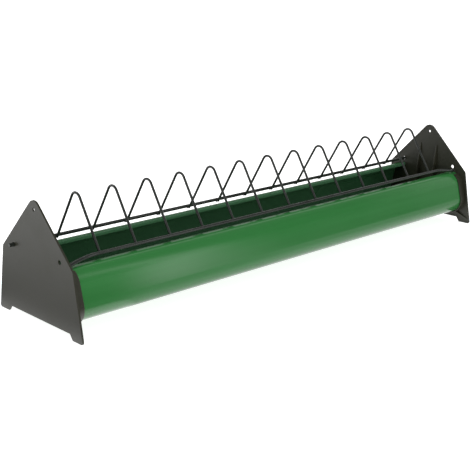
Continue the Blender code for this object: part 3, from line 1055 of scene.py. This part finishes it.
def floor_material(stage):
    """White, lifted to meet the white background, with its own pattern of brightness in reflections."""
    material, tree, shader, places = plain_material("white_floor", 0.9)
    shader.inputs["Specular IOR Level"].default_value = 0
    shader.inputs["Emission Color"].default_value = (1, 1, 1, 1)
    ray = node(tree, "ShaderNodeLightPath").outputs
    tree.links.new(two_tone(tree, ray["Is Glossy Ray"], (0.9, 0.9, 0.9), (0, 0, 0)),
                   shader.inputs["Base Color"])
    # These are in metres from the trough's middle.
    beside = aside(tree, places, (0, 1, 0))
    along = towards(tree, places, (1, 0, 0))
    slanting = towards(tree, places, (0.81, 0.58, 0))
    before = either(
        tree,
        total(tree, ramp(tree, slanting, -0.325, -0.245, stage.floor_corner, stage.floor_shine),
              ramp(tree, beside, 0.075, 0.16, stage.floor_edge, 0)),
        product(tree, ramp(tree, beside, 0.085, 0.17, stage.floor_glow, 0),
                ramp(tree, along, -0.285, -0.245, 1, 0)),
    )
    mirrored = total(
        tree,
        product(tree, before, ramp(tree, along, -0.41, -0.37, 0, 1)),
        product(tree, ramp(tree, along, -0.62, -0.40, stage.floor_beyond, stage.floor_left),
                ramp(tree, along, -0.41, -0.37, 1, 0)),
    )
    seen = times(tree, seen_directly(tree, ray), stage.floor_lift)
    lift = total(tree, seen, product(tree, ray["Is Glossy Ray"], mirrored))
    tree.links.new(lift, shader.inputs["Emission Strength"])
    return material


def add_world(stage):
    """A white room, which reflections show dimmer overhead and in front, with several soft lights."""
    world = bpy.data.worlds.new("studio")
    world.use_nodes = True
    bpy.context.scene.world = world
    tree = world.node_tree
    background = tree.nodes["Background"]
    background.inputs["Color"].default_value = (1, 1, 1, 1)
    way = tree.nodes.new("ShaderNodeTexCoord").outputs["Generated"]
    # Reaches along a way lie between -1 and 1.
    height = towards(tree, way, (0, 0, 1))
    strip_side = Vector((0, -math.sin(stage.strip_height), math.cos(stage.strip_height)))
    strip = product(
        tree,
        ramp(tree, aside(tree, way, strip_side), 0.08, 0.30, stage.strip, 0),
        ramp(tree, height, 0.1, 0.3, 0, 1),
    )
    bar_side = Vector(stage.bar_foot).cross(Vector(stage.bar_head))
    bar = product(
        tree,
        ramp(tree, aside(tree, way, bar_side), 0.012, 0.058, 1, 0),
        ramp(tree, towards(tree, way, stage.bar_foot), 0, 0.5, 0, 1),
        ramp(tree, height, 0.03, 0.06, 0, 1),
        ramp(tree, height, 0.05, 1.0, stage.bar, 0),
    )
    patch = ramp(tree, towards(tree, way, stage.patch_way), 0.9969, 0.9997, 0, stage.patch)
    haze = ramp(tree, towards(tree, way, stage.haze_way), 0.90, 0.965, 0, stage.haze)
    right_end = product(
        tree,
        ramp(tree, towards(tree, way, (1, 0, 0)), 0.76, 0.82, 0, stage.right_end),
        ramp(tree, towards(tree, way, (0, -1, 0)), -0.1, 0.1, 0, 1),
        ramp(tree, height, 0.03, 0.08, 0, 1),
    )
    room = total(
        tree,
        ramp(tree, height, 0.02, 0.22, 0.95, stage.overhead),
        ramp(tree, towards(tree, way, (-1, 0, 0.1)), 0.2, 0.8, 0, 0.4),
        ramp(tree, towards(tree, way, (0.35, -0.93, 0)), 0.3, 0.9, 0, -stage.front_shade),
    )
    lit = total(tree, either(tree, room, times(tree, height, 0.15)), strip, bar, patch, haze, right_end)
    ray = node(tree, "ShaderNodeLightPath").outputs
    mirrored = node(tree, "ShaderNodeMix", [(0, ray["Is Glossy Ray"]), (3, lit)])
    mirrored.inputs[2].default_value = stage.sky
    shown = node(tree, "ShaderNodeMix", [(2, mirrored.outputs[0])])
    tree.links.new(seen_directly(tree, ray), shown.inputs[0])
    shown.inputs[3].default_value = 1
    tree.links.new(shown.outputs[0], background.inputs["Strength"])


def soft_lamp(name, place, width, height, watts):
    """A soft light that looks at the trough. Reflections show the room's own lights in its place."""
    deselect()
    turn = (Vector((0, 0, 0.05)) - Vector(place)).to_track_quat("-Z", "Y").to_euler()
    bpy.ops.object.light_add(type="AREA", location=place, rotation=turn)
    lamp = named(name)
    lamp.data.shape = "RECTANGLE"
    lamp.data.size = width
    lamp.data.size_y = height
    lamp.data.energy = watts
    lamp.visible_glossy = False


class FEEDER_OT_stage(bpy.types.Operator):
    """Adds the floor, the soft light and the camera"""
    bl_idname = "feeder.stage"
    bl_label = "Stage"

    def execute(self, context):
        stage = context.scene.feeder_stage
        deselect()
        bpy.ops.mesh.primitive_plane_add(size=stage.floor_size)
        floor = named("floor")
        floor.data.materials.append(floor_material(stage))
        add_world(stage)
        soft_lamp("overhead_light", (0, 0, 2.4), 1.4, 1.4, stage.overhead_power)
        soft_lamp("front_light", (-0.5, -2.6, 0.16), 2.4, 0.3, stage.front_power)
        deselect()
        bpy.ops.object.camera_add(location=stage.camera_place, rotation=stage.camera_turn)
        camera = named("camera")
        camera.data.lens = stage.lens
        camera.data.clip_start = 0.01
        context.scene.camera = camera
        context.scene.view_settings.view_transform = "Standard"
        return {"FINISHED"}


# The panel

class FEEDER_PT_panel(bpy.types.Panel):
    """Lists the pieces in the order they are added, and their settings"""
    bl_label = "Poultry feed trough"
    bl_space_type = "VIEW_3D"
    bl_region_type = "UI"
    bl_category = "Feeder"

    def draw(self, context):
        for operator in OPERATORS:
            self.layout.operator(operator.bl_idname)
        for group in SETTINGS:
            settings = getattr(context.scene, group)
            box = self.layout.box()
            box.label(text=type(settings).__doc__ or group)
            for name in settings.bl_rna.properties.keys():
                if name not in ("rna_type", "name"):
                    box.prop(settings, name)


SETTINGS = {
    "feeder_trough": TroughSizes,
    "feeder_plate": PlateSizes,
    "feeder_grille": GrilleSizes,
    "feeder_finish": FinishSettings,
    "feeder_stage": StageSettings,
}
OPERATORS = (FEEDER_OT_trough, FEEDER_OT_end_plates, FEEDER_OT_rods, FEEDER_OT_arches, FEEDER_OT_stage)
CLASSES = (*SETTINGS.values(), *OPERATORS, FEEDER_PT_panel)


def register():
    for made in CLASSES:
        bpy.utils.register_class(made)
    for name, group in SETTINGS.items():
        setattr(bpy.types.Scene, name, bpy.props.PointerProperty(type=group))


def unregister():
    for name in SETTINGS:
        delattr(bpy.types.Scene, name)
    for made in reversed(CLASSES):
        bpy.utils.unregister_class(made)


def main():
    register()
    bpy.ops.feeder.trough()
    bpy.ops.feeder.end_plates()
    bpy.ops.feeder.rods()
    bpy.ops.feeder.arches()
    bpy.ops.feeder.stage()


if __name__ == "__main__":
    main()
